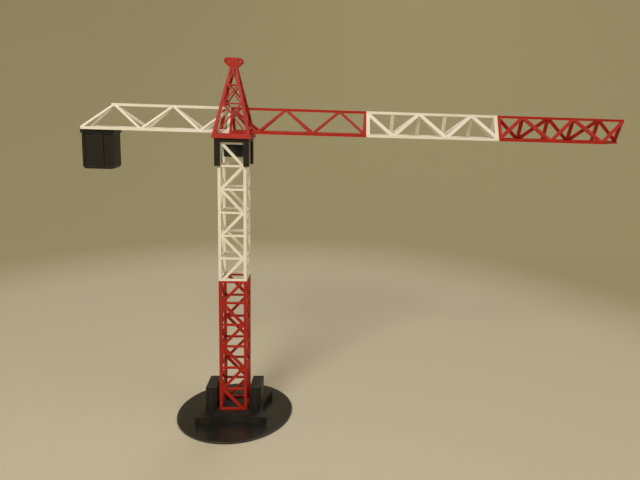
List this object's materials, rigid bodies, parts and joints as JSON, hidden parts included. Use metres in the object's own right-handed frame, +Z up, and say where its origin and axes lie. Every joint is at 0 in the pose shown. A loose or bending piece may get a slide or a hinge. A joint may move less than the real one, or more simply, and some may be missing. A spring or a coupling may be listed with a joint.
{
  "type": "tower crane desk model",
  "caption": "Desk model of a tower crane with a square lattice mast on a round base and a triangular lattice jib that turns on top of it, balanced by a hanging block.",
  "frame": {"origin": "centre of the base disc's underside, on the mast's axis, at the level it rests on", "axes": "+X along the jib towards its tip, +Y across the jib, +Z up the mast"},
  "size_m": [0.6971, 0.154, 0.4773],
  "materials": {
    "red_print": "satin, with fine printed layers",
    "white_print": "satin, with fine printed layers",
    "black_print": "satin, with fine printed layers"
  },
  "bodies": {
    "standing_mast": {"base_disc": "black_print", "plinth": "black_print", "ballast_block_left": "black_print", "ballast_block_right": "black_print", "mast_lower_front": "red_print", "mast_lower_right": "red_print", "mast_lower_rear": "red_print", "mast_lower_left": "red_print", "mast_upper_front": "white_print", "mast_upper_right": "white_print", "mast_upper_rear": "white_print", "mast_upper_left": "white_print", "cap_plate": "black_print", "cap_sleeve": "black_print", "cap_angles": "black_print"},
    "upper_works": {"slew_pin": "red_print", "slew_base": "red_print", "apex_front": "red_print", "apex_right": "red_print", "apex_rear": "red_print", "apex_left": "red_print", "apex_head": "red_print", "jib_inner_front_side": "red_print", "jib_inner_rear_side": "red_print", "jib_inner_top_chord": "red_print", "jib_inner_bottom_lacing": "red_print", "jib_middle_front_side": "white_print", "jib_middle_rear_side": "white_print", "jib_middle_top_chord": "white_print", "jib_middle_bottom_lacing": "white_print", "jib_outer_front_side": "red_print", "jib_outer_rear_side": "red_print", "jib_outer_top_chord": "red_print", "jib_outer_bottom_lacing": "red_print", "counter_jib_front_side": "white_print", "counter_jib_rear_side": "white_print", "counter_jib_top_chord": "white_print", "counter_jib_bottom_lacing": "white_print", "counterweight_lip": "black_print", "counterweight_body": "black_print"}
  },
  "joints": [
    {"name": "slew", "type": "hinge", "parent": "standing_mast", "child": "upper_works", "pos_m": [0, 0, 0.3779], "axis": [0, 0, 1], "continuous": true}
  ]
}
